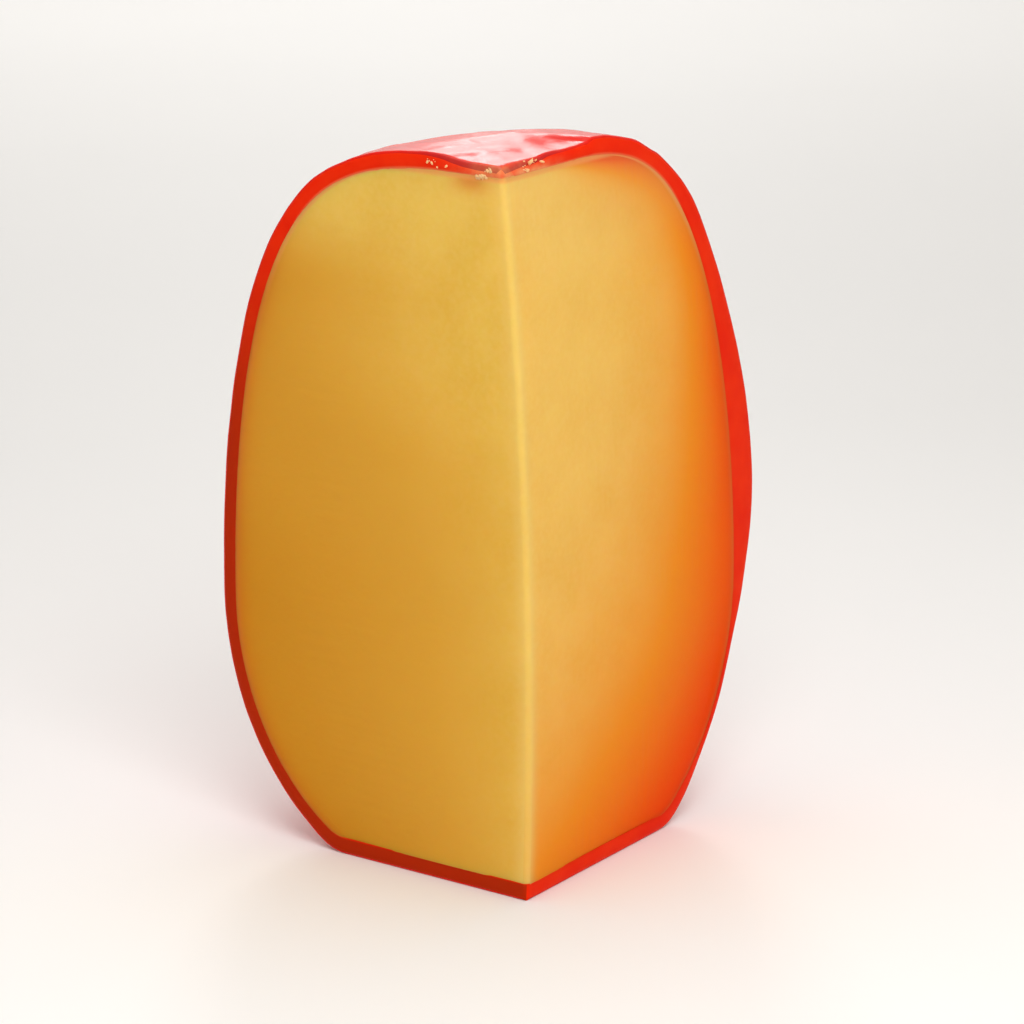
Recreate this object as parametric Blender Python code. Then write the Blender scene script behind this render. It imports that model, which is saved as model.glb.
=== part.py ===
"""A quarter wedge of a red-waxed Edam ball, standing on its foot with its cut ridge to the front.

Metres, +Z up. The origin is where the wedge stands, under the middle of its bounding box. The ball is a
barrel about an upright axis, with its foot pressed flat. Two cuts meet in a ridge a little in front of that
axis, and the ridge leans and bows as the knife went. cheese_paste is the cheese, and wax_coat is the wax
that covers its skin, top and foot and ends flush with both cuts.
"""

import math

import bmesh
import bpy
import numpy as np

# The ball, without its wax. Heights are counted from its middle.
PASTE_RADIUS = 0.0619
PASTE_HEIGHT = 0.130
WIDEST_LEVEL = -0.0177
FOOT_LEVEL = -0.0576
FOOT_ROUND = 0.004
TOP_FLAT_RADIUS = 0.015

# How full the barrel is above and below its widest level: a power of the height and a root.
UPPER_POWER, UPPER_ROOT = 2.02, 4.24
LOWER_POWER, LOWER_ROOT = 1.89, 2.91

# The wax: an even coat, but along the right-hand cut it is thicker above, thinner below, and bulges between.
WAX_GAP = 0.0003
WAX_THICKNESS = 0.0026
WAX_ABOVE = 0.0013
WAX_BELOW = -0.0012
WAX_STEP_LEVELS = -0.038, -0.004
WAX_FOOT_LEVELS = -0.057, -0.047
WAX_BULGE = 0.0035
WAX_BULGE_LEVEL = 0.001
WAX_BULGE_REACH_UP = 0.048
WAX_BULGE_REACH_DOWN = 0.033
WAX_FADE = 3

# The cuts. The ridge is where they meet, as x and y from the ball's axis.
HALF_ANGLE = math.radians(44.1)
RIDGE_FOOT = np.array([-0.0022, -0.0049])
RIDGE_TOP = np.array([-0.0060, -0.0044])
RIDGE_BOW = np.array([0.0020, -0.0004])
RIDGE_ROUND = 0.0010

# How finely the faces follow the curves.
BARREL_SAMPLES = 3000
OUTLINE_SAMPLES = 4000
PROFILE_RINGS = 40
SKIN_COLUMNS = 28
RIDGE_STEPS = 4
SHARP_ANGLE = math.radians(35)


def clear_scene():
    for thing in list(bpy.data.objects):
        bpy.data.objects.remove(thing, do_unlink=True)


def barrel_half(angles, end_level, power, root):
    """Radius and height (points x 2) from the widest level, at angle 0, to end_level, at 90 degrees."""
    share = np.sin(angles)
    radius = PASTE_RADIUS * (1 - share**power) ** (1 / root)
    return np.stack([radius, WIDEST_LEVEL + share * (end_level - WIDEST_LEVEL)], axis=-1)


def evenly(outline, count):
    """The same outline (points x 2) with its points evenly spaced along it."""
    steps = np.hypot(*np.diff(outline, axis=0).T)
    run = np.concatenate([[0], np.cumsum(steps)])
    stops = np.linspace(0, run[-1], count)
    return np.stack([np.interp(stops, run, column) for column in outline.T], axis=-1), run[-1]


def paste_profile():
    """The cheese's skin as rings of radius and height (rings x 2), and which way is out at each.

    It runs from the rim of the flat foot to the rim of the flat of the top. The barrel is cut off level at
    the foot, and that corner is rounded by averaging along the outline.
    """
    angles = np.linspace(0, math.pi / 2, BARREL_SAMPLES)
    upper = barrel_half(angles, PASTE_HEIGHT / 2, UPPER_POWER, UPPER_ROOT)
    lower = barrel_half(angles, -PASTE_HEIGHT / 2, LOWER_POWER, LOWER_ROOT)
    upper = upper[upper[:, 0] >= TOP_FLAT_RADIUS]
    lower = lower[lower[:, 1] >= FOOT_LEVEL][:0:-1]
    inside_corner = [lower[0, 0] - FOOT_ROUND, FOOT_LEVEL]
    outline, length = evenly(np.vstack([inside_corner, lower, upper]), OUTLINE_SAMPLES)
    window = np.ones(round(OUTLINE_SAMPLES * FOOT_ROUND / length))
    outline = np.stack([np.convolve(column, window / window.size, "valid") for column in outline.T], axis=-1)
    along = np.gradient(outline, axis=0)
    outward = np.stack([along[:, 1], -along[:, 0]], axis=-1) / np.hypot(*along.T)[:, None]
    rings = np.linspace(0, len(outline) - 1, PROFILE_RINGS).round().astype(int)
    return outline[rings], outward[rings]


def ridge_at(height):
    """x and y of the ridge: a leaning straight line, bowed most at mid-height."""
    share = (height / PASTE_HEIGHT + 0.5)[..., None]
    return RIDGE_FOOT + (RIDGE_TOP - RIDGE_FOOT) * share + RIDGE_BOW * 4 * share * (1 - share)


def skin_points(radius, height):
    """Points of rings of the given radius and height (rings x columns), from the right cut to the left.

    Each point lies on a straight line from the ridge, at that height, out to the ring about the axis.
    """
    angles = np.linspace(HALF_ANGLE, -HALF_ANGLE, SKIN_COLUMNS + 1)
    outward = np.stack([np.sin(angles), np.cos(angles)], axis=-1)
    ridge = ridge_at(height)
    along = (ridge * outward).sum(axis=-1)
    reach = np.sqrt(radius**2 - (ridge**2).sum(axis=-1) + along**2) - along
    return np.concatenate([ridge + reach[..., None] * outward, height[..., None]], axis=-1)


def ridge_points(height):
    """The ridge's rounded section at one height, from the left cut to the right."""
    turns = np.linspace(-1, 1, RIDGE_STEPS + 1) * (math.pi / 2 - HALF_ANGLE)
    centre = ridge_at(np.array(height)) + [0, RIDGE_ROUND / math.sin(HALF_ANGLE)]
    x = centre[0] + RIDGE_ROUND * np.sin(turns)
    y = centre[1] - RIDGE_ROUND * np.cos(turns)
    return np.stack([x, y, np.full_like(x, height)], axis=-1)


def offset_rings(depth):
    """Skin points (rings x columns) at a depth outside the cheese, square to its outline."""
    profile, outward = paste_profile()
    depth = np.broadcast_to(depth, (PROFILE_RINGS, SKIN_COLUMNS + 1))
    return skin_points(profile[:, :1] + depth * outward[:, :1], profile[:, 1:] + depth * outward[:, 1:])


def smooth_step(levels, height):
    """0 below the lower level and 1 above the upper, along an S-curve."""
    share = np.clip((height - levels[0]) / (levels[1] - levels[0]), 0, 1)
    return share * share * (3 - 2 * share)


def extra_wax():
    """How much the coat differs from an even one (rings x columns): full at the right cut, gone at the left."""
    profile, _ = paste_profile()
    height = profile[:, 1:]
    across = np.linspace(1, 0, SKIN_COLUMNS + 1) ** WAX_FADE
    step = WAX_BELOW + (WAX_ABOVE - WAX_BELOW) * smooth_step(WAX_STEP_LEVELS, height)
    above = height - WAX_BULGE_LEVEL
    away = np.clip(above / np.where(above > 0, WAX_BULGE_REACH_UP, WAX_BULGE_REACH_DOWN), -1, 1)
    bulge = WAX_BULGE * np.cos(away * math.pi / 2) ** 2
    return (step * smooth_step(WAX_FOOT_LEVELS, height) + bulge) * across


def add_rings(mesh, rings):
    return [[mesh.verts.new(point) for point in ring] for ring in rings]


def join_rings(mesh, rings, closed):
    for lower, upper in zip(rings, rings[1:]):
        steps = len(lower) if closed else len(lower) - 1
        for step in range(steps):
            after = (step + 1) % len(lower)
            mesh.faces.new((lower[step], lower[after], upper[after], upper[step]))


def join_fan(mesh, few, many):
    """Triangles between two open runs of points, each point of the longer joined to its share of the shorter."""
    nearest = np.linspace(0, len(few) - 1, len(many)).round().astype(int)
    for step, (near, after) in enumerate(zip(nearest, nearest[1:])):
        mesh.faces.new((few[near], many[step], many[step + 1]))
        if after > near:
            mesh.faces.new((few[near], many[step + 1], few[after]))


def finish_node(name, mesh, material):
    """Closes up the bmesh, with its faces pointing out, and makes it a smooth-shaded object."""
    bmesh.ops.remove_doubles(mesh, verts=mesh.verts, dist=1e-6)
    bmesh.ops.recalc_face_normals(mesh, faces=mesh.faces)
    data = bpy.data.meshes.new(name)
    mesh.to_mesh(data)
    mesh.free()
    data.materials.append(material)
    data.shade_smooth()
    data.set_sharp_from_angle(angle=SHARP_ANGLE)
    node = bpy.data.objects.new(name, data)
    bpy.context.scene.collection.objects.link(node)
    return node


def make_cheese_paste(material):
    """Sections of the cheese, one ring each, joined up and closed by its flat foot and top."""
    mesh = bmesh.new()
    sections = [np.vstack([ridge_points(ring[0, 2]), ring]) for ring in offset_rings(0)]
    rings = add_rings(mesh, sections)
    join_rings(mesh, rings, closed=True)
    mesh.faces.new(rings[-1])
    mesh.faces.new(reversed(rings[0]))
    return finish_node("cheese_paste", mesh, material)


def add_wax_sheet(mesh, depth):
    """One side of the wax, at a depth outside the cheese. Returns the edge that it has along both cuts.

    Top and foot run straight from the ridge, at the height of their left-hand rim, out to the skin.
    """
    skin = offset_rings(depth)
    rings = add_rings(mesh, skin)
    join_rings(mesh, rings, closed=False)
    foot, top = add_rings(mesh, [ridge_points(skin[0, -1, 2]), ridge_points(skin[-1, -1, 2])])
    join_fan(mesh, top[::-1], rings[-1])
    join_fan(mesh, foot[::-1], rings[0])
    right_side = [ring[0] for ring in reversed(rings)]
    left_side = [ring[-1] for ring in rings]
    return top + right_side + foot[::-1] + left_side


def make_wax_coat(material):
    """An inner and an outer sheet of wax, joined along both cuts."""
    mesh = bmesh.new()
    inner = add_wax_sheet(mesh, WAX_GAP)
    outer = add_wax_sheet(mesh, WAX_GAP + WAX_THICKNESS + extra_wax())
    join_rings(mesh, [inner, outer], closed=True)
    return finish_node("wax_coat", mesh, material)


def make_material(name, colour, roughness):
    material = bpy.data.materials.new(name)
    material.use_nodes = True
    shader = material.node_tree.nodes["Principled BSDF"]
    shader.inputs["Base Color"].default_value = (*colour, 1)
    shader.inputs["Roughness"].default_value = roughness
    shader.inputs["Metallic"].default_value = 0
    return material


def stand_on_origin(nodes):
    """Moves the pieces together, so that their common box stands on the origin."""
    points = np.array([vertex.co[:] for node in nodes for vertex in node.data.vertices])
    low, high = points.min(axis=0), points.max(axis=0)
    for node in nodes:
        node.location = (-(low[0] + high[0]) / 2, -(low[1] + high[1]) / 2, -low[2])


def main():
    clear_scene()
    paste = make_cheese_paste(make_material("golden cheese", (0.80, 0.50, 0.13), 0.45))
    wax = make_wax_coat(make_material("red wax", (0.72, 0.03, 0.02), 0.30))
    stand_on_origin([paste, wax])


main()
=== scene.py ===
"""A quarter wedge of a red-waxed Edam ball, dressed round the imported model.

The cheese and its wax are surfaces worked out with numpy on grids of two parameters. Metres, +Z up.
"""

import math

import bpy
import numpy as np
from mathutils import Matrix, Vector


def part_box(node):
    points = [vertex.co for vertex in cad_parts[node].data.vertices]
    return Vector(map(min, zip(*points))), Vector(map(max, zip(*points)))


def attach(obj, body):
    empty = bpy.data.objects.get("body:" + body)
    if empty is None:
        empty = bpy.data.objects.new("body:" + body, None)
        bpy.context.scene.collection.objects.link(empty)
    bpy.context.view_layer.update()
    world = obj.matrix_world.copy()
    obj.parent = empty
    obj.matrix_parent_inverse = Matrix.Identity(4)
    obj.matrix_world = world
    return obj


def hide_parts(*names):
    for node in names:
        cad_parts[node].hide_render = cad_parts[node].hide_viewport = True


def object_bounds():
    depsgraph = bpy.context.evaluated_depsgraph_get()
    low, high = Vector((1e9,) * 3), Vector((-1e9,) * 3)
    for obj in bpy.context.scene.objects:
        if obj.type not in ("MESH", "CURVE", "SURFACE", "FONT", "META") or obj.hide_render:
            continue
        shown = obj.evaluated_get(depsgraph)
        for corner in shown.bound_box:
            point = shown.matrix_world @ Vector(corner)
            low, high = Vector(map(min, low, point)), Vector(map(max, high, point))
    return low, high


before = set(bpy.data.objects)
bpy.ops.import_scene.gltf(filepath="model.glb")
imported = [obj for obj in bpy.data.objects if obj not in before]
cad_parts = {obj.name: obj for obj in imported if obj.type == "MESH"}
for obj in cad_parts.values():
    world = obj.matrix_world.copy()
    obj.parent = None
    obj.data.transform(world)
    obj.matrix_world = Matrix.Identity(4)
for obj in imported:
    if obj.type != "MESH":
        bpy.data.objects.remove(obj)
CAD_LOW, CAD_HIGH = [list(corner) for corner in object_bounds()]

MM = 0.001

# The ball without its wax, with heights counted from its middle.
PASTE_RADIUS = 61.9 * MM
PASTE_HEIGHT = 130 * MM
WIDEST_LEVEL = -17.7 * MM
FOOT_LEVEL = -57.6 * MM
FOOT_ROUND = 4 * MM
TOP_FLAT_RADIUS = 15 * MM
UPPER_POWER, UPPER_ROOT = 2.02, 4.24
LOWER_POWER, LOWER_ROOT = 1.89, 2.91

# The wax over it. Along the right-hand cut it is thicker above, thinner below, and bulges between.
WAX_DEPTH = 2.9 * MM
WAX_ABOVE = 1.3 * MM
WAX_BELOW = -1.2 * MM
WAX_BULGE = 3.5 * MM
WAX_BULGE_LEVEL = 1 * MM
WAX_BULGE_REACH_UP = 48 * MM
WAX_BULGE_REACH_DOWN = 33 * MM
WAX_FADE = 3
WAX_STEP_SPAN = (-38 * MM, -4 * MM)
WAX_FOOT_SPAN = (-57 * MM, -47 * MM)

# The cuts, and the ridge where they meet, as x and y from the ball's axis.
HALF_ANGLE = math.radians(44.1)
RIDGE_FOOT = np.array([-2.2, -4.9]) * MM
RIDGE_TOP = np.array([-6.0, -4.4]) * MM
RIDGE_BOW = np.array([2.0, -0.4]) * MM
RIDGE_ROUND = 1 * MM

LEFT_OUT = np.array([-math.cos(HALF_ANGLE), -math.sin(HALF_ANGLE), 0])
RIGHT_OUT = np.array([math.cos(HALF_ANGLE), -math.sin(HALF_ANGLE), 0])


# Waves and steps that the surfaces are roughened with.

def swells(points, size, seed, waves=14):
    """Smooth unevenness on points (... x n), seeded: mostly within 1 of 0, and nearly always within 2.

    The sum of sine waves of about the given size (one number, or one for each axis), in random directions
    and phases, divided by the root of half their number, so that the mean square is 1.
    """
    draw = np.random.default_rng(seed)
    directions = draw.normal(size=(points.shape[-1], waves))
    directions /= np.linalg.norm(directions, axis=0)
    directions *= draw.uniform(0.6, 1.5, waves)
    phases = draw.uniform(0, 2 * math.pi, waves)
    return np.sin(2 * math.pi * (points / size) @ directions + phases).sum(axis=-1) / math.sqrt(waves / 2)


def smooth_step(low, high, value):
    """0 below low and 1 above high, with an S-curve 3t^2 - 2t^3 between."""
    share = np.clip((value - low) / (high - low), 0, 1)
    return share * share * (3 - 2 * share)


# The outline of the ball and its cuts.

def barrel_half(angles, end_level, power, root):
    """Radius R(1 - t^power)^(1/root) and height (points x 2), t = sin(angle) being 0 at the widest level."""
    share = np.sin(angles)
    radius = PASTE_RADIUS * (1 - share**power) ** (1 / root)
    return np.stack([radius, WIDEST_LEVEL + share * (end_level - WIDEST_LEVEL)], axis=-1)


def evenly(outline, count):
    """The same outline (points x 2) with its points evenly spaced along it, and its length."""
    run = np.concatenate([[0], np.cumsum(np.hypot(*np.diff(outline, axis=0).T))])
    stops = np.linspace(0, run[-1], count)
    return np.stack([np.interp(stops, run, column) for column in outline.T], axis=-1), run[-1]


def paste_profile(rings):
    """Rings of radius and height up the cheese's skin, foot to top, and which way is out at each (rings x 2).

    The barrel is cut off level at the foot, with that corner rounded by averaging along the outline.
    """
    samples = 6000
    angles = np.linspace(0, math.pi / 2, samples)
    upper = barrel_half(angles, PASTE_HEIGHT / 2, UPPER_POWER, UPPER_ROOT)
    lower = barrel_half(angles, -PASTE_HEIGHT / 2, LOWER_POWER, LOWER_ROOT)
    upper = upper[upper[:, 0] >= TOP_FLAT_RADIUS]
    lower = lower[lower[:, 1] >= FOOT_LEVEL][:0:-1]
    inside_corner = [lower[0, 0] - FOOT_ROUND, FOOT_LEVEL]
    outline, length = evenly(np.vstack([inside_corner, lower, upper]), samples)
    window = np.ones(round(samples * FOOT_ROUND / length))
    outline = np.stack([np.convolve(column, window / window.size, "valid") for column in outline.T], axis=-1)
    along = np.gradient(outline, axis=0)
    outward = np.stack([along[:, 1], -along[:, 0]], axis=-1) / np.hypot(*along.T)[:, None]
    picked = np.linspace(0, len(outline) - 1, rings).round().astype(int)
    return outline[picked], outward[picked]


def ridge_at(height):
    """x and y of the ridge: a leaning straight line plus a bow of 4w(1 - w), w going from foot to top."""
    share = (height / PASTE_HEIGHT + 0.5)[..., None]
    return RIDGE_FOOT + (RIDGE_TOP - RIDGE_FOOT) * share + RIDGE_BOW * 4 * share * (1 - share)


def skin_points(radius, height, angles):
    """Points (rings x columns x 3) on lines from the ridge, at each angle, out to the ring about the axis."""
    outward = np.stack([np.sin(angles), np.cos(angles)], axis=-1)
    ridge = ridge_at(height)
    along = (ridge * outward).sum(axis=-1)
    reach = np.sqrt(radius**2 - (ridge**2).sum(axis=-1) + along**2) - along
    level = np.broadcast_to(height, reach.shape)
    return np.concatenate([ridge + reach[..., None] * outward, level[..., None]], axis=-1)


def ridge_points(height, turns):
    """The ridge's rounded section, an arc between the cuts, at each height (rings) and turn (columns)."""
    height = np.broadcast_to(np.asarray(height, float)[:, None], (len(height), len(turns)))
    centre = ridge_at(height) + [0, RIDGE_ROUND / math.sin(HALF_ANGLE)]
    x = centre[..., 0] + RIDGE_ROUND * np.sin(turns)
    y = centre[..., 1] - RIDGE_ROUND * np.cos(turns)
    return np.stack([x, y, height], axis=-1)


def between(first, last, count):
    """A grid (... x count x 3) of straight lines from the points of first to those of last, ends included."""
    share = np.linspace(0, 1, count)[:, None]
    return first[..., None, :] * (1 - share) + last[..., None, :] * share


def gathered(count):
    """From 1 to -1, closer together at both ends: 0.2t + 0.8t(3 - t^2)/2 for evenly spaced t."""
    even = np.linspace(1, -1, count)
    return 0.2 * even + 0.8 * even * (3 - even**2) / 2


WAX_COLUMNS = gathered(169)
SKIN_ANGLES = HALF_ANGLE * WAX_COLUMNS
RIDGE_TURN = math.pi / 2 - HALF_ANGLE
RIDGE_TURNS = np.linspace(-RIDGE_TURN, RIDGE_TURN, 9)

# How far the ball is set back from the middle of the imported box, so that its finest ring stays inside.
SET_BACK = 0.01 * MM


def ball_axis():
    """Where the ball's axis stands: the place that centres the wax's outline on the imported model's box."""
    profile, outward = paste_profile(120)
    out = profile[:, None] + wax_depth(profile[:, 1:])[..., None] * outward[:, None]
    skin = skin_points(out[..., 0], out[..., 1], SKIN_ANGLES)
    ridge = ridge_points(profile[:, 1], RIDGE_TURNS)
    points = np.vstack([skin.reshape(-1, 3), ridge.reshape(-1, 3)])
    low, high = points.min(axis=0), points.max(axis=0)
    cad_middle = (np.array(CAD_LOW) + np.array(CAD_HIGH)) / 2
    x, y = cad_middle[:2] - (low[:2] + high[:2]) / 2
    return np.array([x, y + SET_BACK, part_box("cheese_paste")[0].z - FOOT_LEVEL])


def wax_depth(height):
    """Depth of the wax (rings x columns): even, plus a step and a cosine bulge that fade leftwards as u^3."""
    across = ((1 + WAX_COLUMNS) / 2) ** WAX_FADE
    step = WAX_BELOW + (WAX_ABOVE - WAX_BELOW) * smooth_step(*WAX_STEP_SPAN, height)
    above = height - WAX_BULGE_LEVEL
    away = np.clip(above / np.where(above > 0, WAX_BULGE_REACH_UP, WAX_BULGE_REACH_DOWN), -1, 1)
    bulge = WAX_BULGE * np.cos(away * math.pi / 2) ** 2
    return WAX_DEPTH + (step * smooth_step(*WAX_FOOT_SPAN, height) + bulge) * across


# Making meshes from grids.

def quads(numbers):
    """The faces between neighbours in a grid of point numbers."""
    corners = [numbers[:-1, :-1], numbers[:-1, 1:], numbers[1:, 1:], numbers[1:, :-1]]
    return np.stack(corners, axis=-1).reshape(-1, 4)


def grid_faces(rows, columns, start=0, closed=False):
    """Quads of a grid of numbered points, row by row; a closed grid joins its last column to its first."""
    numbers = start + np.arange(rows * columns).reshape(rows, columns)
    if closed:
        numbers = np.hstack([numbers, numbers[:, :1]])
    return quads(numbers)


def mesh_piece(name, points, faces, materials, attributes=None, sharp_angle=None, material_of=None):
    """An object at the origin from points (n x 3) and faces, with float attributes on its points.

    material_of numbers the material of each face, where there is more than one.
    """
    data = bpy.data.meshes.new(name)
    data.from_pydata(points.tolist(), [], [list(face) for face in faces])
    for key, values in (attributes or {}).items():
        attribute_data = data.attributes.new(key, "FLOAT", "POINT").data
        attribute_data.foreach_set("value", np.ravel(values).astype(np.float32))
    for material in materials:
        data.materials.append(material)
    if material_of is not None:
        data.polygons.foreach_set("material_index", material_of)
    data.shade_smooth()
    if sharp_angle is not None:
        data.set_sharp_from_angle(angle=sharp_angle)
    piece = bpy.data.objects.new(name, data)
    bpy.context.scene.collection.objects.link(piece)
    return piece


# The cheese.

CHEESE_RINGS = 250
SKIN_COLUMNS = 45
FACE_COLUMNS = 120

# Small eyes on each cut: distance from the ridge, height and radius, in mm.
RIGHT_EYES = ((27.6, 13.1, 0.35), (15, -24, 0.4), (37, 36, 0.3))
LEFT_EYES = ((12.5, 0, 0.45), (39.9, 4.4, 0.4), (22, -31, 0.35), (31, 33, 0.25))

# Steps that the knife left across each cut: height at the ridge, rise along the cut and depth, in mm.
RIGHT_STEPS = ((-9, 0.1, 0.012), (34, -0.06, 0.01))
LEFT_STEPS = ((19.2, -0.01, 0.02), (-6, 0.05, 0.012), (42, -0.12, 0.01))
STEP_WIDTH = 0.4 * MM
STEP_REACH = 6 * MM

# The unevenness of both cuts: how far each kind stands out as a rule, and the size of its waves or patches.
SWELL_DEPTH, SWELL_SIZE = 0.12 * MM, 38 * MM
STREAK_DEPTH, STREAK_PATCH = 0.022 * MM, 30 * MM
GRAIN_DEPTH, GRAIN_SIZE = 0.005 * MM, 2.2 * MM

# Where the knife dragged red wax into the left cut: how far along and up it, and the stain's reach.
STAIN_ALONG, STAIN_UP = 6.5 * MM, 63.8 * MM
STAIN_REACH_ALONG, STAIN_REACH_UP = 4 * MM, 2 * MM

# The line against the wax: how far from it the line starts to fade and is gone, and between which heights it
# grows clearer, while the painted glow behind it fades.
LINE_SPAN = (0.5 * MM, 1.3 * MM)
LINE_RISE_SPAN = (35 * MM, 58 * MM)

# Painted light: the paste is painted a little paler near the top, where more light falls from above.
TOP_PAINTED_LIGHT, TOP_PAINTED_LIGHT_SPAN = 0.28, (43 * MM, 57 * MM)


def eye_pits(run, height, eyes):
    """Depth of the small eyes on a cut face: dimples of depth radius / 2 x exp(-(distance / radius)^4)."""
    pits = np.zeros_like(run)
    for centre_run, centre_height, radius in np.array(eyes) * MM:
        distance = np.hypot(run - centre_run, height - centre_height)
        pits += 0.5 * radius * np.exp(-((distance / radius) ** 4))
    return pits


def knife_steps(run, height, steps):
    """Relief of the knife's steps: depth x tanh(distance from the step / width), dying out further off."""
    relief = np.zeros_like(run)
    for start, rise, depth in steps:
        above = height - start * MM - rise * run
        relief += depth * MM * np.tanh(above / STEP_WIDTH) * np.exp(-((above / STEP_REACH) ** 2))
    return relief


def cut_face_relief(run, height, edge, cut):
    """How far a cut face stands out, from the distance to the ridge, the height and the distance to the wax.

    A slow swell, the knife's steps, faint streaks along its way that come and go, and a grain, less the eyes.
    """
    place, seed = np.stack([run, height], axis=-1), cut["seed"]
    swell = SWELL_DEPTH * swells(place, SWELL_SIZE, seed)
    shown = smooth_step(-0.4, 1.2, swells(place, STREAK_PATCH, seed + 4))
    streaks = STREAK_DEPTH * shown * swells(place, np.array(cut["streak_size"]), seed + 1, waves=24)
    grain = GRAIN_DEPTH * swells(place, GRAIN_SIZE, seed + 2, waves=30)
    hold = smooth_step(0, 4 * MM, run) * smooth_step(0, 3 * MM, edge)
    marks = knife_steps(run, height, cut["steps"])
    return (swell + streaks + marks) * hold + grain - eye_pits(run, height, cut["eyes"])


def right_rind_tone_and_painted_bounce(run, to_skin, height, from_top):
    """How far the right cut's paste deepens in colour, 0 to 1: a exp(-(distance to the rind / w)^1.2).

    Some of it is the rind's own tone and most of it is painted red bounce light. Both a and the reach w grow
    towards the foot, and the shoulder gets a little more painted glow under its top.
    """
    less_above = 0.3 * smooth_step(16 * MM, 58 * MM, height)
    more_below = 0.07 * (1 - smooth_step(-45 * MM, -20 * MM, height))
    start = 0.93 - less_above + more_below
    least_reach, more_reach = 13 * MM, 39 * MM
    reach_starts, reach_span = 43 * MM, 87 * MM
    reach = least_reach + more_reach * (np.clip(reach_starts - height, 0, None) / reach_span) ** 1.85
    on_shoulder = smooth_step(0.35, 0.9, run / (run + to_skin))
    shoulder = 0.8 * np.exp(-from_top / (3.5 * MM)) * on_shoulder
    return np.clip(start * np.exp(-((to_skin / reach) ** 1.2)) + shoulder, 0, 1)


def left_rind_tone_and_painted_shade(run, to_skin, height, _):
    """How far the left cut's paste deepens in colour, 0 to 1: a x (share of the way from ridge to rind)^q.

    It starts under the top, and q falls towards the foot, so that the deeper colour spreads. Some of it is
    the rind's own tone and most of it is painted shade, darker towards the rind and the foot.
    """
    under_top = 0.78 * (1 - smooth_step(40 * MM, 60 * MM, height))
    more_below = 0.18 * (1 - smooth_step(-18 * MM, 14 * MM, height))
    power = 0.55 + 0.9 * smooth_step(12 * MM, 38 * MM, height)
    return np.clip((run / (run + to_skin)) ** power * (under_top + more_below), 0, 1)


def stain(run, height):
    """How strongly the dragged wax stains a cut: exp(-(distance / reach)^2)."""
    along, up = (run - STAIN_ALONG) / STAIN_REACH_ALONG, (height - STAIN_UP) / STAIN_REACH_UP
    return np.exp(-(along**2 + up**2))


# What differs between the cuts. The streaks' size is along and up the cut. The painted red glow of the wax
# lies along the rind, with its reach and its share at the rind itself. The painted highlight lies along the
# ridge. The colour is the rind's tone, with painted shade on the left cut and painted red bounce light on the
# right.
RIGHT_CUT = {
    "out": RIGHT_OUT, "seed": 11, "eyes": RIGHT_EYES, "steps": RIGHT_STEPS, "colour": right_rind_tone_and_painted_bounce,
    "streak_size": (1.6 * MM, 30 * MM), "glow_reach": 1 * MM, "glow_share": 0.3, "stain_share": 0,
    "painted_highlight_reach": 1.6 * MM,
}
LEFT_CUT = {
    "out": LEFT_OUT, "seed": 21, "eyes": LEFT_EYES, "steps": LEFT_STEPS, "colour": left_rind_tone_and_painted_shade,
    "streak_size": (30 * MM, 1.8 * MM), "glow_reach": 1.5 * MM, "glow_share": 0.7, "stain_share": 0.55,
    "painted_highlight_reach": 2.1 * MM,
}


def dressed_cut(face, ridge_line, skin_end, top, cut):
    """The points of a cut with their relief, and how deep in colour, glowing and pale they are: the rind's
    tone with painted shade and painted bounce light, a painted glow by the wax, and a painted highlight along
    the ridge.
    """
    height = face[..., 2]
    run = np.linalg.norm((face - ridge_line[:, None])[..., :2], axis=-1)
    to_skin = np.linalg.norm((face - skin_end[:, None])[..., :2], axis=-1)
    from_top = top - height
    edge = np.minimum(to_skin, from_top)
    relief = cut_face_relief(run, height, edge, cut)
    rise = smooth_step(*LINE_RISE_SPAN, height)
    # Painted red glow by the wax along the rind; the stain of dragged wax is real.
    glow = np.exp(-edge / cut["glow_reach"]) * cut["glow_share"] * (1 - 0.8 * rise)
    # Painted highlight along the rounded ridge, and painted light near the top.
    by_ridge = np.exp(-((run / cut["painted_highlight_reach"]) ** 2))
    attributes = {
        # The rind's tone carries painted shade on the left cut and painted red bounce light on the right.
        "rind_tone_painted_shade_and_bounce": cut["colour"](run, to_skin, height, from_top),
        "painted_rind_glow_and_wax_stain": np.maximum(glow, cut["stain_share"] * stain(run, height)),
        "rind_line": (1 - smooth_step(*LINE_SPAN, edge)) * (0.1 + 0.65 * rise),
        "painted_ridge_highlight_and_top_light": np.maximum(by_ridge, TOP_PAINTED_LIGHT * smooth_step(*TOP_PAINTED_LIGHT_SPAN, height)),
    }
    return face + relief[..., None] * cut["out"], attributes


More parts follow.
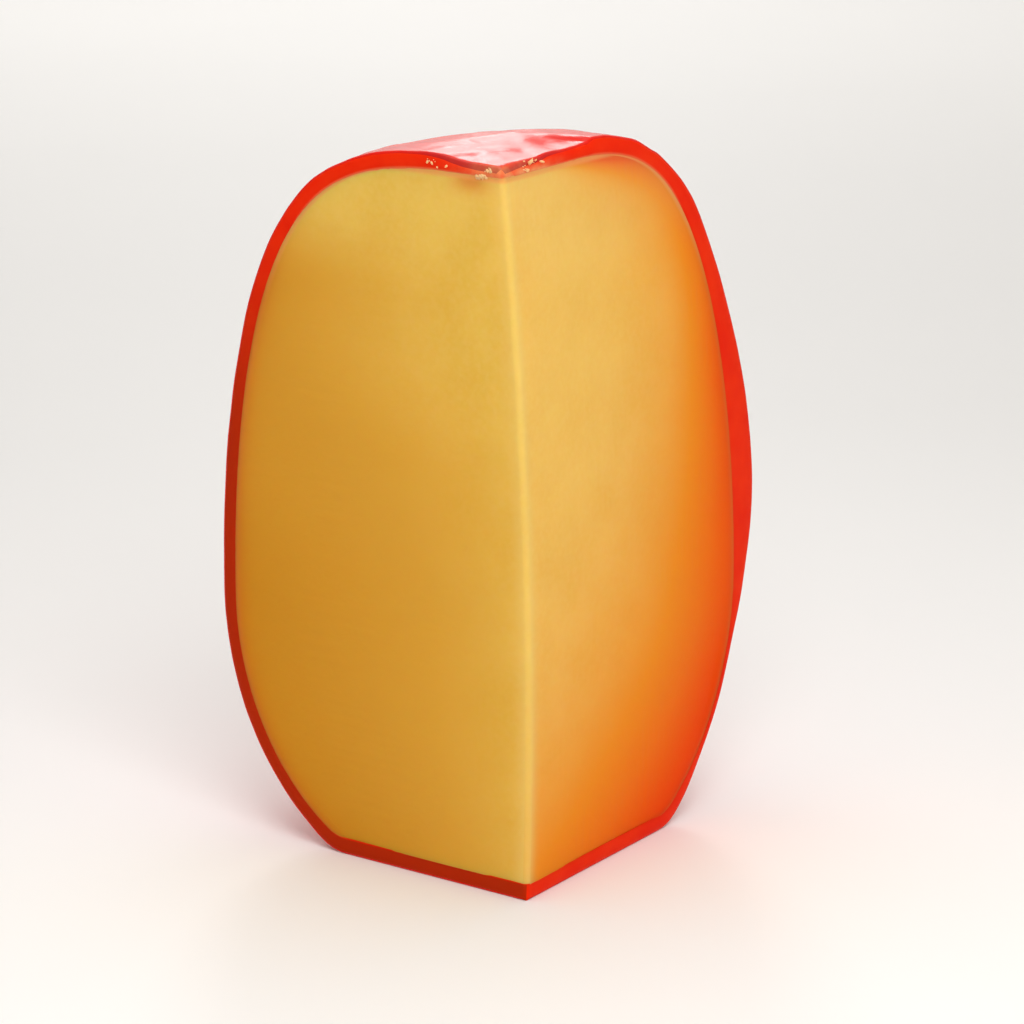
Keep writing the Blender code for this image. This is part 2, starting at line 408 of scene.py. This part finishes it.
def make_cheese_flesh(axis, material):
    """One closed surface: level rings of ridge arc, right cut, skin and left cut, with flat ends."""
    profile, _ = paste_profile(CHEESE_RINGS)
    height, top = profile[:, 1], profile[-1, 1]
    skin = skin_points(profile[:, :1], profile[:, 1:], np.linspace(HALF_ANGLE, -HALF_ANGLE, SKIN_COLUMNS))
    ridge = ridge_points(height, RIDGE_TURNS)
    ridge_line = ridge[:, len(RIDGE_TURNS) // 2]
    right = between(ridge[:, -1], skin[:, 0], FACE_COLUMNS)
    left = between(skin[:, -1], ridge[:, 0], FACE_COLUMNS)
    right, right_looks = dressed_cut(right, ridge_line, skin[:, 0], top, RIGHT_CUT)
    left, left_looks = dressed_cut(left, ridge_line, skin[:, -1], top, LEFT_CUT)
    ridge, skin = ridge[:, 1:-1], skin[:, 1:-1]
    rings = np.concatenate([ridge, right, skin, left], axis=1)
    attributes = {"right_cut": smooth_step(-3 * MM, 3 * MM, rings[..., 0] - ridge_at(rings[..., 2])[..., 0])}
    for name, on_skin in (("rind_tone_painted_shade_and_bounce", 1), ("painted_rind_glow_and_wax_stain", 0), ("rind_line", 0), ("painted_ridge_highlight_and_top_light", 0)):
        on_ridge = (left_looks[name][:, -1:] + right_looks[name][:, :1]) / 2
        parts = [on_ridge.repeat(ridge.shape[1], axis=1), right_looks[name],
                 np.full(skin.shape[:2], on_skin), left_looks[name]]
        attributes[name] = np.concatenate(parts, axis=1)
    rows, columns = rings.shape[:2]
    faces = grid_faces(rows, columns, closed=True).tolist()
    faces.append(list(range((rows - 1) * columns, rows * columns)))
    faces.append(list(range(columns))[::-1])
    points = rings.reshape(-1, 3) + axis
    return mesh_piece("cheese_flesh", points, faces, [material], attributes, math.radians(40))


# Crumbs of cheese that the knife left along the top of the cuts.

# For each clump: which way its cut faces, how many crumbs, the seed, and the clump's middle and its spread,
# both along and up the cut.
CRUMBS = (
    (RIGHT_OUT, 12, 51, (8 * MM, 66.3 * MM), (1.7 * MM, 0.3 * MM)),
    (RIGHT_OUT, 6, 54, (5 * MM, 65.5 * MM), (0.8 * MM, 0.3 * MM)),
    (LEFT_OUT, 20, 52, (3.4 * MM, 64.5 * MM), (0.8 * MM, 0.22 * MM)),
    (LEFT_OUT, 5, 53, (2.2 * MM, 66 * MM), (0.7 * MM, 0.25 * MM)),
    (LEFT_OUT, 9, 55, (12.2 * MM, 65.8 * MM), (1.2 * MM, 0.4 * MM)),
)
CRUMB_RINGS, CRUMB_TURNS = 4, 8
CRUMB_POINTS = CRUMB_RINGS * CRUMB_TURNS + 2


def crumb_shape(draw):
    """A small closed lump: a ball whose points are pushed out unevenly, then flattened and turned."""
    turn = np.linspace(0, 2 * math.pi, CRUMB_TURNS, endpoint=False)
    rise = np.linspace(-math.pi / 2, math.pi / 2, CRUMB_RINGS + 2)[1:-1, None]
    x, y, z = np.cos(rise) * np.cos(turn), np.cos(rise) * np.sin(turn), np.sin(rise) + 0 * turn
    ball = np.vstack([[[0, 0, -1]], np.stack([x, y, z], axis=-1).reshape(-1, 3), [[0, 0, 1]]])
    ball *= 1 + 0.25 * np.clip(swells(ball, 1.6, int(draw.integers(1e6)), 8), -1, 1)[:, None]
    ball *= draw.uniform([0.6, 0.6, 0.5], [1.3, 1, 0.8])
    spin, _ = np.linalg.qr(draw.normal(size=(3, 3)))
    return ball @ (spin * np.sign(np.linalg.det(spin)))


def crumb_faces():
    """The faces of one crumb: a triangle fan at each pole and quads between."""
    pole = CRUMB_POINTS - 1
    last_ring = pole - CRUMB_TURNS
    turns = [(turn, (turn + 1) % CRUMB_TURNS) for turn in range(CRUMB_TURNS)]
    below = [[0, 1 + after, 1 + turn] for turn, after in turns]
    above = [[pole, last_ring + turn, last_ring + after] for turn, after in turns]
    return below + grid_faces(CRUMB_RINGS, CRUMB_TURNS, 1, closed=True).tolist() + above


def make_crumbs(axis, material):
    """Crumbs 0.2 to 1.3 mm across, stuck to the cuts near the ridge, where the wax meets the cheese."""
    shapes, faces = [], []
    for out, count, seed, centre, spread in CRUMBS:
        draw = np.random.default_rng(seed)
        side = 1 if out[0] > 0 else -1
        along = np.array([-out[1], out[0], 0]) * side
        for _ in range(count):
            size = (0.13 + 0.34 * draw.random() ** 2) * MM
            run, height = centre + np.clip(draw.normal(size=2), -1.6, 1.6) * spread
            start = ridge_points([height], np.array([side * RIDGE_TURN]))[0, 0]
            place = start + run * along + 0.3 * size * out
            faces += [[CRUMB_POINTS * len(shapes) + point for point in face] for face in crumb_faces()]
            shapes.append(crumb_shape(draw) * size + place + axis)
    return mesh_piece("crumbs", np.vstack(shapes), faces, [material])


# The wax.

WAX_RINGS = 150
CAP_ROWS = 26
RIM_STEPS = 7

# The cut edges are rounded, more on top close to the ridge, and the rim between them bulges a little.
EDGE_ROUND = 0.4 * MM
RIDGE_EDGE_ROUND = 1.1 * MM
RIM_BULGE = 0.1 * MM

# The inner sheet lies this far inside the cheese, and spans this share of the angle between the cuts.
INNER_DEPTH = 0.15 * MM
INNER_SPAN = 0.999

# How far the poured surface lies under its smooth form, and the most that a dent adds or takes, in mm.
SINK, MOST_DENT = 0.16, 0.14

# The dips of the top along its cut edges. Along the right-hand one the dip grows with the distance from the
# ridge, up to the crease, which slants as it runs in.
RIGHT_DIP, RIGHT_DIP_RISE, RIGHT_DIP_BEYOND, RIGHT_DIP_REACH = 0.75 * MM, 0.04, 0.85 * MM, 7 * MM
LEFT_DIP, LEFT_DIP_SPAN, LEFT_DIP_REACH = 0.6 * MM, (3 * MM, 14 * MM), 6 * MM
CREASE_SPAN, CREASE_SLANT = (25.5 * MM, 28 * MM), 0.45

# Where the dips meet, the left one adds less the deeper the right one is, and nothing at this depth.
LEFT_DIP_GONE = 1.6 * MM


def wax_sheet(depth_of, rings, angles):
    """A grid (rows x columns x 3) over the top, the skin and the foot, at a depth outside the cheese.

    Rows run from the ridge's top out to the flat's rim, down the skin, and back in to the ridge's foot.
    """
    profile, outward = paste_profile(rings)
    depth = depth_of(profile[::-1, 1:])
    out = profile[::-1, None] + depth[..., None] * outward[::-1, None]
    skin = skin_points(out[..., 0], out[..., 1], angles)
    turns = np.linspace(RIDGE_TURN, -RIDGE_TURN, len(angles))
    top_nose = ridge_points([skin[0, -1, 2]], turns)[0]
    foot_nose = ridge_points([skin[-1, -1, 2]], turns)[0]
    top = between(top_nose, skin[0], CAP_ROWS).transpose(1, 0, 2)
    foot = between(skin[-1], foot_nose, CAP_ROWS).transpose(1, 0, 2)
    return np.concatenate([top[:-1], skin, foot[1:]])


def grid_normals(grid):
    """Unit normals of a grid: the cross product of its two gradients."""
    normal = np.cross(np.gradient(grid, axis=0), np.gradient(grid, axis=1))
    return normal / np.linalg.norm(normal, axis=-1, keepdims=True)


def into_wedge(points):
    """How far points lie inside the nearer of the two cuts, and which way that cut faces."""
    from_ridge = points[..., :2] - ridge_at(points[..., 2])
    right, left = from_ridge @ RIGHT_OUT[:2], from_ridge @ LEFT_OUT[:2]
    return -np.maximum(right, left), np.where((right > left)[..., None], RIGHT_OUT, LEFT_OUT)


def from_ridge_of(points):
    """How far points stand from the ridge, level with them."""
    return np.linalg.norm(points[..., :2] - ridge_at(points[..., 2]), axis=-1)


def top_form(points):
    """How far the top of the wax sinks towards its cut edges, in curves exp(-(distance in / reach)^2).

    It sinks more and more along the right-hand cut, up to a crease that runs in from that cut.
    """
    from_ridge = points[..., :2] - ridge_at(points[..., 2])
    run = np.linalg.norm(from_ridge, axis=-1)
    in_right, in_left = -(from_ridge @ RIGHT_OUT[:2]), -(from_ridge @ LEFT_OUT[:2])
    crease = smooth_step(*CREASE_SPAN, run + CREASE_SLANT * in_right)
    right = (RIGHT_DIP + RIGHT_DIP_RISE * run) * (1 - crease) + RIGHT_DIP_BEYOND * crease
    right *= np.exp(-((in_right / RIGHT_DIP_REACH) ** 2))
    left = LEFT_DIP * (1 - smooth_step(*LEFT_DIP_SPAN, run)) * np.exp(-((in_left / LEFT_DIP_REACH) ** 2))
    return (right + left * (1 - right / LEFT_DIP_GONE)) * smooth_step(52 * MM, 62 * MM, points[..., 2])


def poured_depth(height):
    """Depth of the wax as seen: the thicker top of the right-hand cut fades leftwards as u, not as u^3."""
    across = (1 + WAX_COLUMNS) / 2
    return wax_depth(height) + WAX_ABOVE * (across - across**WAX_FADE) * smooth_step(48 * MM, 60 * MM, height)


def inner_depth(height):
    """Depth of the inner sheet, the same everywhere, and inwards."""
    return np.full((len(height), len(SKIN_ANGLES)), -INNER_DEPTH)


def rolled_edge(points):
    """How far the wax sinks at its cut edges: r - sqrt(r^2 - (r - d)^2), a quarter circle over distance d.

    The radius r is larger on top, close to the ridge.
    """
    near = (1 - smooth_step(2 * MM, 22 * MM, from_ridge_of(points))) * smooth_step(0, 30 * MM, points[..., 2])
    radius = EDGE_ROUND + (RIDGE_EDGE_ROUND - EDGE_ROUND) * near
    inside, _ = into_wedge(points)
    left = np.clip(radius - np.clip(inside, 0, None), 0, None)
    return radius - np.sqrt(radius**2 - left**2)


def grid_border(grid):
    """The border of a grid as one loop, going round it from its first corner."""
    return np.concatenate([grid[0, :-1], grid[:-1, -1], grid[-1, :0:-1], grid[:0:-1, 0]])


def on_top(points):
    """0 on the skin and 1 on the flat top."""
    return smooth_step(56 * MM, 64 * MM, points[..., 2])


def sinking_way(outer, inner):
    """The way in which each point of the outer sheet stands out: its normal, with two changes.

    Near a cut it is held level with that cut, so that the edge stays in it, and on top near the ridge it is
    turned upright, so that the corner sinks with the rest.
    """
    normals = grid_normals(outer)
    normals *= np.sign((normals * (outer - inner)).sum(axis=-1, keepdims=True))
    inside, cut_out = into_wedge(outer)
    hold = (1 - smooth_step(0, 4 * MM, inside))[..., None]
    normals = normals - hold * (normals * cut_out).sum(axis=-1, keepdims=True) * cut_out
    by_ridge = 1 - smooth_step(3 * MM, 9 * MM, from_ridge_of(outer))
    upright = (on_top(outer) * by_ridge)[..., None]
    return normals * (1 - upright) + upright * np.array([0, 0, 1])


def poured_sheet(inner):
    """The outer sheet, sunk by its dents, the rounding of its edges and the form of its top.

    Its foot keeps level, so that the wedge stands flat.
    """
    outer = wax_sheet(poured_depth, WAX_RINGS, SKIN_ANGLES)
    fine_dents = swells(outer, 11 * MM, 42) * 0.08 + swells(outer, 5 * MM, 43) * 0.05
    dents = swells(outer, 34 * MM, 41) * 0.06 + fine_dents * (0.3 + 0.7 * on_top(outer))
    standing = smooth_step(0, 6 * MM, outer[..., 2] - outer[..., 2].min())
    sunk = (SINK + np.clip(dents, -MOST_DENT, MOST_DENT)) * MM * standing
    sunk = sunk + rolled_edge(outer) + top_form(outer)
    return outer - sunk[..., None] * sinking_way(outer, inner)


def rim_between(outer, inner, share):
    """Loops of points (loops x points x 3) from the border of the outer sheet to the inner one's.

    They lie at each share of the way in, and bulge out of the cut by RIM_BULGE x (1 - |2 share - 1|^3).
    """
    border_out, border_in = grid_border(outer), grid_border(inner)
    share = share[:, None, None]
    away = smooth_step(1.5 * MM, 5 * MM, from_ridge_of(border_out))[:, None]
    bulge = RIM_BULGE * (1 - np.abs(2 * share - 1) ** 3) * away
    return border_out * (1 - share) + border_in * share + bulge * into_wedge(border_out)[1]


def rim_faces(rows, columns):
    """Quads of the rim, whose loops are numbered after the points of both sheets."""
    count = rows * columns
    border = grid_border(np.arange(count).reshape(rows, columns, 1))[:, 0]
    between_sheets = 2 * count + np.arange(RIM_STEPS * len(border)).reshape(RIM_STEPS, len(border))
    loops = np.vstack([border, between_sheets, border + count])
    return quads(np.hstack([loops, loops[:, :1]]).T)


def wax_looks(points, seam):
    """Where the wax is smeared with cheese, where a dark reflection is painted on its rolled edge, and where
    painted shade darkens its left rim.

    The points are counted from the ball's axis, and the seam is each one's share of the way in to the cheese.
    """
    inside, cut_out = into_wedge(points)
    run, height = from_ridge_of(points), points[:, 2]
    on_right = cut_out[:, 0] > 0
    by_cut = np.exp(-((inside / (0.7 * MM)) ** 2)) * (height > 0)
    smear = np.exp(-((run / (7 * MM)) ** 2))
    smear = smear + 1.2 * on_right * np.exp(-(((run - 9 * MM) / (6 * MM)) ** 2)) * seam
    # Painted dark reflection on the rolled top edge near the ridge.
    painted_dark_reflection = 1 - smooth_step(0.1 * MM, 0.8 * MM, inside)
    painted_dark_reflection = painted_dark_reflection * (1 - smooth_step(10 * MM, 24 * MM, run)) * (seam < 0.25)
    # Painted shade on the left rim, deeper towards the foot.
    shaded = 1 - smooth_step(0, 2 * MM, inside)
    shaded = shaded * ~on_right * (1 - smooth_step(10 * MM, 58 * MM, height))
    return {
        "seam": seam * (0.35 + 0.65 * smooth_step(35 * MM, 58 * MM, height)),
        "smear": np.clip(smear, 0, 1) * by_cut,
        "painted_dark_reflection": painted_dark_reflection * smooth_step(50 * MM, 60 * MM, height),
        "painted_left_rim_shade": shaded * (seam < 1),
    }


def make_wax_skin(axis, materials):
    """An outer and an inner sheet, joined by a rounded rim along both cuts.

    The inner sheet lies just inside the cheese and ends a hair under its cuts, so that no gap shows.
    """
    inner = wax_sheet(inner_depth, WAX_RINGS, SKIN_ANGLES * INNER_SPAN)
    outer = poured_sheet(inner)
    rows, columns = outer.shape[:2]
    share = np.linspace(0, 1, RIM_STEPS + 2)[1:-1]
    rim = rim_between(outer, inner, share)
    points = np.concatenate([outer.reshape(-1, 3), inner.reshape(-1, 3), rim.reshape(-1, 3)])
    seam = np.repeat([0, 1, *share], [rows * columns, rows * columns, *[rim.shape[1]] * RIM_STEPS])
    sheets = [grid_faces(rows, columns), grid_faces(rows, columns, rows * columns)[:, ::-1]]
    rim_quads = rim_faces(rows, columns)
    faces = np.vstack([*sheets, rim_quads])
    material_of = np.repeat([0, 1], [len(sheets[0]) + len(sheets[1]), len(rim_quads)])
    looks = wax_looks(points, seam)
    return mesh_piece("wax_skin", points + axis, faces, materials, looks, math.radians(50), material_of)


# Materials.

def linear(red, green, blue):
    """A colour given as 8-bit display values, as the linear values that a shader takes."""
    display = np.array([red, green, blue]) / 255
    return (*np.where(display <= 0.04045, display / 12.92, ((display + 0.055) / 1.055) ** 2.4), 1)


def new_material(name):
    """A material, its node tree and its shader."""
    material = bpy.data.materials.new(name)
    material.use_nodes = True
    return material, material.node_tree, material.node_tree.nodes["Principled BSDF"]


def noise(tree, coordinates, scale, detail):
    """Noise of scale features a metre."""
    node = tree.nodes.new("ShaderNodeTexNoise")
    node.inputs["Scale"].default_value = scale
    node.inputs["Detail"].default_value = detail
    tree.links.new(coordinates, node.inputs["Vector"])
    return node.outputs["Fac"]


def ranged(tree, value, low, high, to_low, to_high):
    """A value's range low to high, mapped to to_low to to_high and held there."""
    node = tree.nodes.new("ShaderNodeMapRange")
    node.inputs["From Min"].default_value = low
    node.inputs["From Max"].default_value = high
    node.inputs["To Min"].default_value = to_low
    node.inputs["To Max"].default_value = to_high
    tree.links.new(value, node.inputs["Value"])
    return node.outputs["Result"]


def mixed(tree, share, first, second):
    """A colour mix; first and second are colours or sockets."""
    node = tree.nodes.new("ShaderNodeMix")
    node.data_type = "RGBA"
    tree.links.new(share, node.inputs["Factor"])
    for socket, colour in ((node.inputs[6], first), (node.inputs[7], second)):
        if isinstance(colour, tuple):
            socket.default_value = colour
        else:
            tree.links.new(colour, socket)
    return node.outputs[2]


def attribute(tree, name):
    """A float attribute of the piece that wears the material."""
    node = tree.nodes.new("ShaderNodeAttribute")
    node.attribute_name = name
    return node.outputs["Fac"]


def bump(tree, shader, value, distance):
    """Relief too fine for the mesh."""
    node = tree.nodes.new("ShaderNodeBump")
    node.inputs["Distance"].default_value = distance
    tree.links.new(value, node.inputs["Height"])
    tree.links.new(node.outputs["Normal"], shader.inputs["Normal"])


def cheese_material():
    """Paste in two clouded tones, deeper towards the rind, with a painted ridge highlight and a painted glow
    by the wax.

    The deeper tone carries painted shade on the left cut and painted red bounce light on the right, and the
    paste is painted a little lighter near the top, as if lit from above.
    """
    material, tree, shader = new_material("golden edam paste")
    place = tree.nodes.new("ShaderNodeTexCoord").outputs["Object"]
    cloud = noise(tree, place, 90, 3)
    speckle = noise(tree, place, 900, 2)
    right_cut = attribute(tree, "right_cut")
    light = mixed(tree, right_cut, linear(235, 189, 78), linear(239, 188, 88))
    lighter = mixed(tree, right_cut, linear(241, 198, 90), linear(244, 196, 98))
    # The left cut's middle and deep tones are painted shade, the right cut's are painted red bounce light,
    # over the rind's tone.
    middle = mixed(tree, right_cut, linear(227, 168, 60), linear(246, 144, 32))
    deep = mixed(tree, right_cut, linear(210, 141, 30), linear(246, 62, 0))
    paste = mixed(tree, ranged(tree, cloud, 0.35, 0.65, 0, 1), light, lighter)
    paste = mixed(tree, ranged(tree, speckle, 0.35, 0.75, 0, 0.25), paste, linear(246, 208, 118))
    depth = attribute(tree, "rind_tone_painted_shade_and_bounce")
    paste = mixed(tree, ranged(tree, depth, 0, 0.5, 0, 1), paste, middle)
    paste = mixed(tree, ranged(tree, depth, 0.5, 1, 0, 1), paste, deep)
    # Painted highlight along the ridge and painted light near the top.
    pale = mixed(tree, right_cut, linear(241, 212, 116), linear(228, 210, 136))
    paste = mixed(tree, ranged(tree, attribute(tree, "painted_ridge_highlight_and_top_light"), 0, 1, 0, 0.45), paste, pale)
    # Painted red glow by the wax, sharing its paint with the real stain of dragged wax in the left cut.
    paste = mixed(tree, attribute(tree, "painted_rind_glow_and_wax_stain"), paste, linear(216, 76, 20))
    paste = mixed(tree, attribute(tree, "rind_line"), paste, linear(255, 160, 92))
    tree.links.new(paste, shader.inputs["Base Color"])
    shader.inputs["Subsurface Weight"].default_value = 0.6
    shader.inputs["Subsurface Radius"].default_value = (1, 0.55, 0.2)
    shader.inputs["Subsurface Scale"].default_value = 3 * MM
    shader.inputs["IOR"].default_value = 1.42
    shader.inputs["Specular IOR Level"].default_value = 0.03
    tree.links.new(ranged(tree, speckle, 0.3, 0.7, 0.42, 0.52), shader.inputs["Roughness"])
    bump(tree, shader, speckle, 0.05 * MM)
    return material


def crumb_material():
    material, tree, shader = new_material("pale cheese crumbs")
    place = tree.nodes.new("ShaderNodeTexCoord").outputs["Object"]
    tone = noise(tree, place, 500, 2)
    pale = mixed(tree, tone, linear(255, 182, 122), linear(255, 204, 146))
    tree.links.new(pale, shader.inputs["Base Color"])
    shader.inputs["Subsurface Weight"].default_value = 0.5
    shader.inputs["Subsurface Radius"].default_value = (1, 0.6, 0.3)
    shader.inputs["Subsurface Scale"].default_value = 0.5 * MM
    shader.inputs["Roughness"].default_value = 0.5
    return material


def smeared(tree, red, smudge):
    """The wax's red, with the cheese that the knife smeared over it near the ridge."""
    smear = tree.nodes.new("ShaderNodeMath")
    smear.operation = "MULTIPLY"
    tree.links.new(attribute(tree, "smear"), smear.inputs[0])
    tree.links.new(ranged(tree, smudge, 0.35, 0.65, 0.3, 0.8), smear.inputs[1])
    return mixed(tree, smear.outputs[0], red, linear(246, 170, 110))


def wax_material():
    """The poured outside: glossy, with clouds of tone and a painted dark reflection along its rolled edge."""
    material, tree, shader = new_material("red cheese wax")
    place = tree.nodes.new("ShaderNodeTexCoord").outputs["Object"]
    cloud = noise(tree, place, 60, 3)
    fine = noise(tree, place, 700, 2)
    red = mixed(tree, ranged(tree, cloud, 0.3, 0.7, 0, 1), linear(226, 22, 8), linear(236, 34, 12))
    red = smeared(tree, red, noise(tree, place, 420, 3))
    # Painted dark reflection along the rolled top edge near the ridge.
    painted_dark_reflection = ranged(tree, attribute(tree, "painted_dark_reflection"), 0, 1, 0, 0.55)
    tree.links.new(mixed(tree, painted_dark_reflection, red, linear(140, 26, 38)), shader.inputs["Base Color"])
    shader.inputs["Subsurface Weight"].default_value = 0.25
    shader.inputs["Subsurface Radius"].default_value = (1, 0.15, 0.08)
    shader.inputs["Subsurface Scale"].default_value = 1.5 * MM
    shader.inputs["IOR"].default_value = 1.45
    shader.inputs["Specular IOR Level"].default_value = 0.25
    tree.links.new(ranged(tree, cloud, 0.3, 0.7, 0.16, 0.26), shader.inputs["Roughness"])
    bump(tree, shader, fine, 0.03 * MM)
    return material


def cut_wax_material():
    """The wax's cut edge: duller and brighter, with painted shade low on its left, a thin pale line against
    the cheese, and smears of it.
    """
    material, tree, shader = new_material("cut red wax")
    place = tree.nodes.new("ShaderNodeTexCoord").outputs["Object"]
    cloud = noise(tree, place, 140, 3)
    smudge = noise(tree, place, 420, 3)
    red = mixed(tree, ranged(tree, cloud, 0.3, 0.7, 0, 1), linear(240, 34, 1), linear(247, 48, 5))
    # Painted shade on the lower left rim.
    red = mixed(tree, attribute(tree, "painted_left_rim_shade"), red, linear(184, 42, 3))
    red = smeared(tree, red, smudge)
    red = mixed(tree, ranged(tree, attribute(tree, "seam"), 0.78, 0.97, 0, 0.8), red, linear(250, 130, 80))
    tree.links.new(red, shader.inputs["Base Color"])
    shader.inputs["Subsurface Weight"].default_value = 0.4
    shader.inputs["Subsurface Radius"].default_value = (1, 0.2, 0.1)
    shader.inputs["Subsurface Scale"].default_value = 1.5 * MM
    shader.inputs["IOR"].default_value = 1.45
    shader.inputs["Specular IOR Level"].default_value = 0.05
    shader.inputs["Roughness"].default_value = 0.5
    bump(tree, shader, smudge, 0.05 * MM)
    return material


def floor_material():
    material, tree, shader = new_material("pale studio floor")
    place = tree.nodes.new("ShaderNodeTexCoord").outputs["Object"]
    tone = noise(tree, place, 6, 2)
    pale = mixed(tree, tone, linear(248, 246, 243), linear(251, 249, 246))
    tree.links.new(pale, shader.inputs["Base Color"])
    shader.inputs["Roughness"].default_value = 0.6
    return material


# The studio.

def make_floor(material):
    """A round floor that curves up to a wall: a flat, a quarter circle and a rise, turned about Z."""
    flat, curve, rise = 1.6, 0.9, 1.2
    floor = np.concatenate([[1 * MM], np.linspace(0.2, flat, 8)])
    bend = np.linspace(0, math.pi / 2, 24)[1:]
    radius = np.concatenate([floor, flat + curve * np.sin(bend), [flat + curve]])
    height = np.concatenate([0 * floor, curve * (1 - np.cos(bend)), [curve + rise]])
    turn = np.linspace(0, 2 * math.pi, 96, endpoint=False)
    x, y = radius[:, None] * np.cos(turn), radius[:, None] * np.sin(turn)
    points = np.stack([x, y, np.broadcast_to(height[:, None], x.shape)], axis=-1).reshape(-1, 3)
    faces = grid_faces(len(radius), len(turn), closed=True).tolist()
    faces.append(list(range(len(turn))))
    return mesh_piece("studio_floor", points, faces, [material])


def aim(thing, target):
    """Turns a lamp or a camera, which look down their own -Z, towards a place."""
    x, y, z = np.array(target) - np.array(thing.location)
    yaw = math.atan2(x, -y)
    tilt = math.atan2(math.hypot(x, y), -z)
    thing.rotation_euler = (tilt, 0, yaw + math.pi)


def add_light(name, place, target, width, height, power):
    """A soft oblong lamp that the camera doesn't see."""
    data = bpy.data.lights.new(name, "AREA")
    data.shape = "RECTANGLE"
    data.size, data.size_y = width, height
    data.energy = power
    lamp = bpy.data.objects.new(name, data)
    lamp.location = place
    lamp.visible_camera = False
    bpy.context.scene.collection.objects.link(lamp)
    aim(lamp, target)


CAMERA_AZIMUTH = math.radians(-10.25)
CAMERA_ELEVATION = math.radians(15.83)
CAMERA_DISTANCE = 641.5 * MM
CAMERA_LENS = 134
CAMERA_TARGET = (1 * MM, 0, 59.5 * MM)


def add_camera(axis):
    """At the viewing angle and distance from the ball's middle, aimed just under the middle of the wedge."""
    across = CAMERA_DISTANCE * math.cos(CAMERA_ELEVATION)
    place = axis + [math.sin(CAMERA_AZIMUTH) * across, -math.cos(CAMERA_AZIMUTH) * across,
                    CAMERA_DISTANCE * math.sin(CAMERA_ELEVATION)]
    data = bpy.data.cameras.new("camera")
    data.lens = CAMERA_LENS
    data.sensor_width = 36
    camera = bpy.data.objects.new("camera", data)
    camera.location = place
    bpy.context.scene.collection.objects.link(camera)
    aim(camera, CAMERA_TARGET)
    bpy.context.scene.camera = camera


MIDDLE = (0, 0, 70 * MM)
WALL = (0, 2.3, 0.6)

# Each lamp's name, place, target, width, height and power. Both back lamps make the highlight on the top.
LAMPS = (
    ("key", (0.01, -0.36, 0.38), MIDDLE, 0.28, 0.28, 1.21),
    ("back", (0.19, 1.3, 0.62), MIDDLE, 0.3, 0.45, 0.85),
    ("high back", (0.18, 1.25, 0.86), MIDDLE, 0.28, 0.24, 1.25),
    ("glint", (0.21, 1.3, 0.36), MIDDLE, 0.05, 0.12, 0.07),
    ("top", (0, 0.1, 0.8), MIDDLE, 0.6, 0.6, 2),
    ("wall wash", (0, 1, 1.3), WALL, 1.2, 0.5, 9),
)


def light_studio():
    """The lamps, and a soft pale light from all round."""
    for lamp in LAMPS:
        add_light(*lamp)
    world = bpy.data.worlds.new("studio")
    world.use_nodes = True
    background = world.node_tree.nodes["Background"]
    background.inputs["Color"].default_value = (1, 0.99, 0.98, 1)
    background.inputs["Strength"].default_value = 0.4
    bpy.context.scene.world = world
    bpy.context.scene.view_settings.view_transform = "Standard"


def main():
    axis = ball_axis()
    flesh = make_cheese_flesh(axis, cheese_material())
    wax = make_wax_skin(axis, [wax_material(), cut_wax_material()])
    crumbs = make_crumbs(axis, crumb_material())
    for piece, slot in ((flesh, "cheese"), (wax, "wax"), (crumbs, "cheese")):
        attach(piece, "root")
    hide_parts("cheese_paste")
    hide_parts("wax_coat")
    make_floor(floor_material())
    light_studio()
    add_camera(axis)


main()
